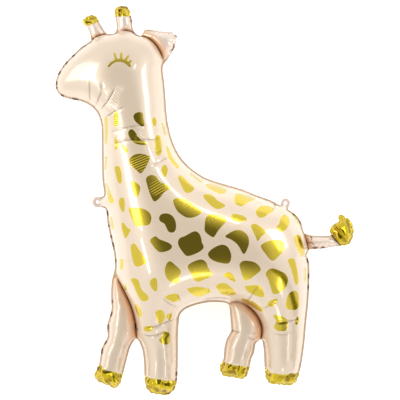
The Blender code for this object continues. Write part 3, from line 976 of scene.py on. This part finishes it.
def weld_shades(flat):
    """The painted shade line along each weld, and the painted orange reflection and shade beside
    it, as numbers from 0 to 1.
    """
    dark, tan = np.zeros((2, len(flat)))
    for corners, shaded_side, (start, end), reach in WELDS.values():
        gap, along, side = line_places(flat, curve_through(corners))
        strength = fade(along, start - WELD_FADE, start + WELD_FADE)
        strength *= fade(along, end + WELD_FADE, end - WELD_FADE)
        # Painted shade line along the weld, and painted orange reflection and shade beside it,
        # strongest on the shaded side
        dark = np.maximum(dark, strength * bell(gap, WELD_LINE))
        shaded = SHADED_TAN * bell(gap, reach)
        lit = LIT_TAN * np.exp(-gap / (LIT_REACH * reach))
        share = LEAST_TAN + (1 - LEAST_TAN) * strength
        tan = np.maximum(tan, np.where(side == shaded_side, shaded, lit) * share)
    return dark, tan


class Sock:
    """A shader socket with arithmetic: each operation adds its Math node."""

    def __init__(self, nodes, socket):
        self.nodes = nodes
        self.socket = socket

    def math(self, operation, *values, clamp=False):
        settings = {"operation": operation, "use_clamp": clamp}
        node = self.nodes.add("ShaderNodeMath", settings, [self, *values])
        return Sock(self.nodes, node.outputs[0])

    def __add__(self, other):
        return self.math("ADD", other)

    def __radd__(self, other):
        return self.math("ADD", other)

    def __sub__(self, other):
        return self.math("SUBTRACT", other)

    def __rsub__(self, other):
        return (self * -1) + other

    def __mul__(self, other):
        return self.math("MULTIPLY", other)

    def __rmul__(self, other):
        return self.math("MULTIPLY", other)

    def clamped(self):
        return self.math("ADD", 0.0, clamp=True)


class Nodes:
    """Adds nodes to a material or world."""

    def __init__(self, tree):
        self.tree = tree

    def add(self, kind, settings=None, inputs=()):
        """A node of this kind, with its settings made first, then its sockets' values or links."""
        node = self.tree.nodes.new(kind)
        for name, value in (settings or {}).items():
            setattr(node, name, value)
        pairs = inputs.items() if isinstance(inputs, dict) else enumerate(inputs)
        for key, value in pairs:
            if isinstance(value, Sock):
                self.tree.links.new(value.socket, node.inputs[key])
            else:
                node.inputs[key].default_value = value
        return node

    def sock(self, node, output=0):
        return Sock(self, node.outputs[output])

    def mix_colours(self, share, first, second):
        """first where share is 0 and second where it is 1."""
        node = self.add("ShaderNodeMix", {"data_type": "RGBA"}, {0: share, 6: first, 7: second})
        return Sock(self, node.outputs[2])


def foil_material(settings):
    """Pearl film with mirror-gold print, and the painted shade, reflection and light that its
    attributes carry.
    """
    material = bpy.data.materials.new("printed_pearl_foil")
    material.use_nodes = True
    material.node_tree.nodes.clear()
    nodes = Nodes(material.node_tree)
    depth, fold_shade, tan, rim_reflection_share, pale, crumpled = (
        nodes.sock(nodes.add("ShaderNodeAttribute", {"attribute_name": name}), 2)
        for name in ("gold_depth", "painted_shade_and_dark_rim", "tan_reflection_and_rim_tint", "rim_reflection_share", "pale_tab_and_painted_light", "crumpled")
    )
    gold = (depth * (1 / PRINT_BLUR) + 0.5).clamped()
    print_edge = (depth * (1 / EDGE_BLUR) + 2).clamped() * EDGE_SHARE
    # Paler tab film, and painted light on the horns, the ear and the tail
    colour = nodes.mix_colours(pale, (*settings.pearl, 1), (*settings.pale_tab_and_lit_pearl, 1))
    # Painted orange reflection and shade by welds and near the rim, with the rim band's orange tint
    colour = nodes.mix_colours(tan.clamped(), colour, (*settings.tan, 1))
    colour = nodes.mix_colours(print_edge, colour, (*settings.print_edge, 1))
    # Painted reflection: a duller gold near the rim
    print_colour = nodes.mix_colours(rim_reflection_share, (*settings.gold, 1), (*settings.rim_reflection_gold, 1))
    colour = nodes.mix_colours(gold, colour, print_colour)
    # Painted shade in creases, weld lines, gather valleys, rim dashes and crumpled gold, and the
    # darker rim band
    colour = nodes.mix_colours(fold_shade.clamped(), colour, (*settings.fold_shade, 1))
    coordinates = nodes.sock(nodes.add("ShaderNodeTexCoord"), 3)
    slow = nodes.add(
        "ShaderNodeTexNoise", inputs={"Vector": coordinates, "Scale": SLOW_SCALE, "Detail": 1.0}
    )
    height = nodes.sock(slow) * SLOW_WAVE
    bump = nodes.add("ShaderNodeBump", inputs={"Strength": 1.0, "Distance": 1.0, "Height": height})
    coat = (gold * (GOLD_COAT - 1) + 1) * (1 - fold_shade.clamped()) * (1 - crumpled * DULLED)
    shader = nodes.add(
        "ShaderNodeBsdfPrincipled",
        inputs={
            "Base Color": colour,
            "Metallic": gold * (1 - PEARL_METALLIC) + PEARL_METALLIC,
            "Roughness": gold * (GOLD_ROUGHNESS - PEARL_ROUGHNESS) + PEARL_ROUGHNESS,
            "Specular IOR Level": SPECULAR,
            "Coat Weight": coat,
            "Coat IOR": COAT_IOR,
            "Coat Roughness": COAT_ROUGHNESS,
            "Normal": nodes.sock(bump),
        },
    )
    nodes.add("ShaderNodeOutputMaterial", inputs={"Surface": nodes.sock(shader)})
    return material


class FOIL_OT_balloon(bpy.types.Operator):
    """Makes the gathered, creased and printed film of the balloon"""

    bl_idname = "foil.balloon"
    bl_label = "Film"

    def execute(self, context):
        settings = context.scene.foil_film
        film = film_copy(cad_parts[NODE])
        rims = find_rims(film)
        outline = rims[0]
        for lowest in (0, FINE_FROM * SEAM_HEIGHT):
            subdivide(film, read_points(film)[:, 2] > lowest - RESTING_WITHIN)
            ease(film, EASE_ROUNDS)
        refine(film, outline)
        ease(film, LAST_ROUNDS)
        self.shape(film, rims, settings, context.scene.foil_stage.camera_distance)
        make_active(film)
        bpy.ops.object.shade_smooth()
        film.data.materials.append(foil_material(settings))
        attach(film, BODY)
        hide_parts(NODE)
        return {"FINISHED"}

    def shape(self, film, rims, settings, camera_distance):
        """Rounds the cut edges, gathers and creases the film, and marks its print and its painted
        shade, reflection and light.
        """
        points = read_points(film)
        on_weld = welded(points)
        for rim in reversed(rims):
            gap, along = rim.places(points[:, :2])
            points[:, :2] += rim.bulge(along) * fade(gap, BULGE_REACH, 0)[:, None]
        thinner = settings.rim_thickness / SOLID_FILM_THICKNESS
        points[on_weld, 2] = SEAM_HEIGHT + (points[on_weld, 2] - SEAM_HEIGHT) * thinner
        move_points(film, points)

        normals = read_points(film, "normal")
        seen = as_seen(points, camera_distance)
        valley, dash = gather_rim(points, normals, gap, along, rims[0], settings)
        lift = crumple_ends(points, normals, gap, settings)
        crease = crease_film(points, normals, seen, settings)
        wave = ripple_places(seen)[1] * (points[:, 2] > SEAM_HEIGHT)
        points += (RIPPLE_HEIGHT * wave)[:, None] * normals
        points[:, 2] = np.maximum(points[:, 2], 0)
        move_points(film, points)

        weld_fold, weld_tan_reflection = weld_shades(points[:, :2])
        past_rim = np.maximum(gap - RIM_WIDTH, 0)
        hole_gap = np.minimum.reduce([rim.places(points[:, :2])[0] for rim in rims[1:]])
        rim_band = fade(gap / RIM_WIDTH, *RIM_EDGE) * fade(hole_gap, *PLAIN_TAB)
        dashed = np.maximum.reduce([area_depth(points[:, :2], area) for area in DASHED_EDGES])
        dash *= fade(dashed, *DASH_FADE)
        gathered = end_share(points[:, :2], GOLD_ENDS)
        # Painted reflection near the rim, less on the gold ends
        rim_reflection_share = bell(past_rim, NEAR_RIM) * (1 - BRIGHT_ENDS * gathered)
        # Painted shade in creases, along welds, in gather valleys and rim dashes, and the darker
        # rim band
        painted_shade_and_dark_rim = np.maximum.reduce(
            (
                crease * CREASE_SHADE,
                weld_fold,
                VALLEY_SHADE * valley * np.exp(-past_rim / VALLEY_SHADE_REACH),
                rim_band * (RIM_SHADE * (1 - gathered) + DASH_SHADE * dash),
            )
        )
        # Painted shade on the crumpled gold, darkest in its hollows
        crumpled = gathered * (GOLD_SHADE + HOLLOW_SHADE * fade(lift, *HOLLOWS))
        # Painted orange reflection beside welds and near the rim, and the rim band's orange tint
        tan_reflection_and_rim_tint = np.maximum.reduce((weld_tan_reflection, NEAR_RIM_TAN * rim_reflection_share, rim_band * RIM_TAN))
        # Paler tab film round the holes, and painted light on the ear, the tail and the horns
        pale = np.maximum(fade(hole_gap, *PALE_TAB), PAINTED_LIGHT_SHARE * end_share(seen, PAINTED_LIGHT_PARTS))
        add_attribute(film, "pale_tab_and_painted_light", pale)
        add_attribute(film, "crumpled", gathered)
        add_attribute(film, "gold_depth", gold_depth(seen))
        add_attribute(film, "painted_shade_and_dark_rim", np.maximum(painted_shade_and_dark_rim, crumpled))
        add_attribute(film, "tan_reflection_and_rim_tint", tan_reflection_and_rim_tint)
        add_attribute(film, "rim_reflection_share", rim_reflection_share)


class FOIL_OT_stage(bpy.types.Operator):
    """Lays the pale floor and places the light and the camera"""

    bl_idname = "foil.stage"
    bl_label = "Stage"

    def execute(self, context):
        settings = context.scene.foil_stage
        context.scene.view_settings.view_transform = "Standard"
        deselect_all()
        bpy.ops.mesh.primitive_plane_add(size=settings.floor_size, location=(0, 0, 0))
        floor = context.active_object
        floor.name = "floor"
        material = bpy.data.materials.new("pale_floor")
        material.use_nodes = True
        shader = material.node_tree.nodes["Principled BSDF"]
        shader.inputs["Base Color"].default_value = FLOOR_COLOUR
        shader.inputs["Roughness"].default_value = FLOOR_ROUGHNESS
        shader.inputs["Emission Color"].default_value = (1, 1, 1, 1)
        shader.inputs["Emission Strength"].default_value = settings.floor_glow
        floor.data.materials.append(material)

        deselect_all()
        x, y = at(*PICTURE_MIDDLE)
        bpy.ops.object.camera_add(
            location=(x, y, SEAM_HEIGHT + settings.camera_distance), rotation=(0, 0, 0)
        )
        camera = context.active_object
        camera.name = "camera"
        camera.data.sensor_width = SENSOR_WIDTH
        camera.data.lens = SENSOR_WIDTH * settings.camera_distance / settings.picture_width
        context.scene.camera = camera
        self.light_room(context.scene, settings.room_strength)
        for name, strip in STRIPS.items():
            self.add_strip(name, *strip)
        self.add_strip("muzzle_light", *MUZZLE_LIGHT, MUZZLE).visible_diffuse = False
        distance, side, radiance = FILL
        fill = self.add_strip("fill", 0, 0, distance, side, side, radiance, 180)
        fill.visible_glossy = False
        return {"FINISHED"}

    def light_room(self, scene, strength):
        """A soft room: bright all round and dark straight overhead."""
        world = bpy.data.worlds.new("soft_room")
        world.use_nodes = True
        world.node_tree.nodes.clear()
        nodes = Nodes(world.node_tree)
        coordinates = nodes.add("ShaderNodeTexCoord")
        parts = nodes.add("ShaderNodeSeparateXYZ", inputs=[nodes.sock(coordinates, 0)])
        height = nodes.sock(parts, 2)
        colour = (1.0, 1.0, 1.0, 1)
        for start, end, shade in ROOM_SHADES:
            share = ((height - start) * (1 / (end - start))).clamped()
            colour = nodes.mix_colours(share, colour, (*shade, 1))
        x, y = nodes.sock(parts, 0), nodes.sock(parts, 1)
        turn, half_width, shade = DARK_POST
        turn = math.radians(turn)
        across = (y * math.cos(turn) - x * math.sin(turn)).math("ABSOLUTE")
        towards = x * math.cos(turn) + y * math.sin(turn)
        start, rate = POST_SIDE
        post = ((half_width - across) * POST_SHARPNESS).clamped()
        post = post * ((towards - start) * rate).clamped()
        colour = nodes.mix_colours(post, colour, (*shade, 1))
        background = nodes.add(
            "ShaderNodeBackground", inputs={"Color": colour, "Strength": strength}
        )
        nodes.add("ShaderNodeOutputWorld", inputs={"Surface": nodes.sock(background)})
        scene.world = world

    def add_strip(
        self, name, around, down, distance, length, width, radiance, spread, aim=(0, 0, 0)
    ):
        """A soft light that faces the aim, around it from +X and down from straight above it."""
        deselect_all()
        around, down = math.radians(around), math.radians(down)
        way = Vector(
            (math.cos(around) * math.sin(down), math.sin(around) * math.sin(down), math.cos(down))
        )
        bpy.ops.object.light_add(
            type="AREA",
            location=Vector(aim) + way * distance,
            rotation=(-way).to_track_quat("-Z", "Y").to_euler(),
        )
        light = bpy.context.active_object
        light.name = name
        light.data.shape = "RECTANGLE"
        light.data.size, light.data.size_y = length, width
        light.data.energy = radiance * math.pi * length * width
        light.data.spread = math.radians(spread)
        light.visible_camera = False
        return light


class FOIL_PT_panel(bpy.types.Panel):
    """Lists the steps that build the balloon"""

    bl_label = "Giraffe Foil Balloon"
    bl_idname = "FOIL_PT_panel"
    bl_space_type = "VIEW_3D"
    bl_region_type = "UI"
    bl_category = "Balloon"

    def draw(self, context):
        for name in ("foil_film", "foil_stage"):
            settings = getattr(context.scene, name)
            box = self.layout.box()
            for key in settings.bl_rna.properties.keys():
                if key not in ("rna_type", "name"):
                    box.prop(settings, key)
        for operator in OPERATORS:
            self.layout.operator(operator.bl_idname)


OPERATORS = (FOIL_OT_stage, FOIL_OT_balloon)
CLASSES = (FilmSettings, StageSettings, *OPERATORS, FOIL_PT_panel)


def register():
    for cls in CLASSES:
        bpy.utils.register_class(cls)
    bpy.types.Scene.foil_film = PointerProperty(type=FilmSettings)
    bpy.types.Scene.foil_stage = PointerProperty(type=StageSettings)


def unregister():
    del bpy.types.Scene.foil_stage
    del bpy.types.Scene.foil_film
    for cls in reversed(CLASSES):
        bpy.utils.unregister_class(cls)


def main():
    register()
    bpy.ops.foil.stage()
    bpy.ops.foil.balloon()


if __name__ == "__main__":
    main()
